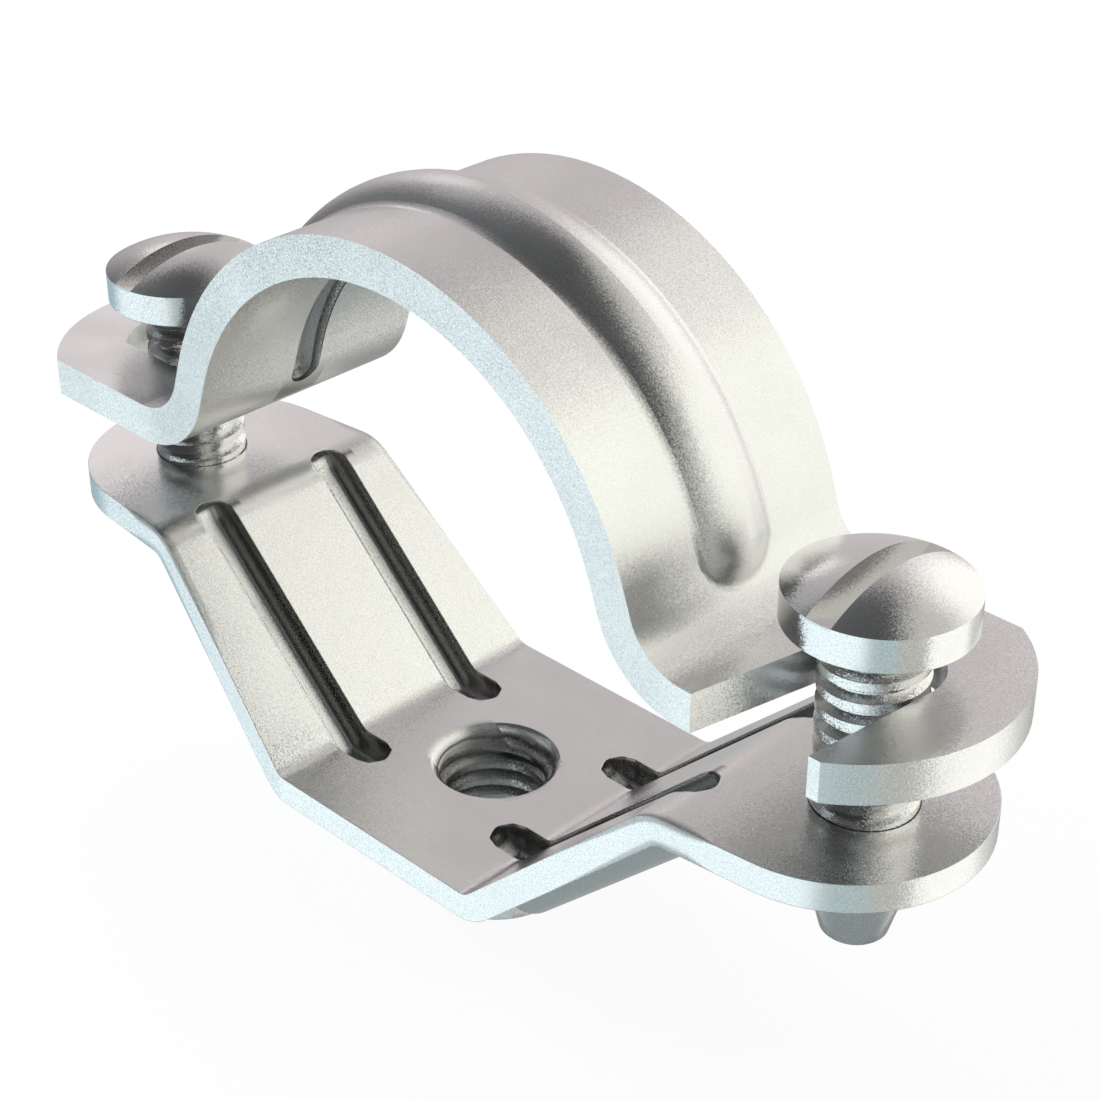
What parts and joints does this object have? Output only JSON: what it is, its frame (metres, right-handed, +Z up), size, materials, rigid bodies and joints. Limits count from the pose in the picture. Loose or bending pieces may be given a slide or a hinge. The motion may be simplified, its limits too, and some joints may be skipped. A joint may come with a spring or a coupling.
{
  "type": "spacer clamp",
  "caption": "Steel spacer clamp: holds a pipe off a wall between a folded saddle with a tapped collar and a bowed strap that swings open and closes with slotted screws.",
  "frame": {"origin": "middle of the collar's lower rim, where the rod or screw that carries the clamp enters", "axes": "+Z up from the collar through the middle of the pipe, X along the strips from the left screw to the right screw, Y along the pipe; the hook slot opens to -Y"},
  "size_m": [0.0594, 0.0176, 0.0391],
  "materials": {
    "saddle_zinc": "bright zinc plate on pressed steel sheet",
    "strap_zinc": "bright zinc plate on pressed steel strip",
    "screw_zinc": "bright zinc plate on turned steel"
  },
  "bodies": {
    "saddle": {"lower_saddle": "saddle_zinc"},
    "left_screw": {"left_screw": "screw_zinc"},
    "right_screw": {"right_screw": "screw_zinc"},
    "strap": {"upper_strap": "strap_zinc"}
  },
  "joints": [
    {"name": "screws_travel", "type": "slide", "parent": "saddle", "child": "left_screw", "axis": [0, 0, 1], "range_m": [-0.00445, 0.0025]},
    {"name": "right_screw_travel", "type": "slide", "parent": "saddle", "child": "right_screw", "axis": [0, 0, 1], "range_m": [-0.00445, 0.0025]},
    {"name": "strap_swing", "type": "hinge", "parent": "left_screw", "child": "strap", "pos_m": [-0.0232, 0, 0.0229], "axis": [0, 0, 1], "range_deg": [0, 180]}
  ],
  "couplings": [
    {"joint": "right_screw_travel", "follows": "screws_travel", "ratio": 1}
  ]
}
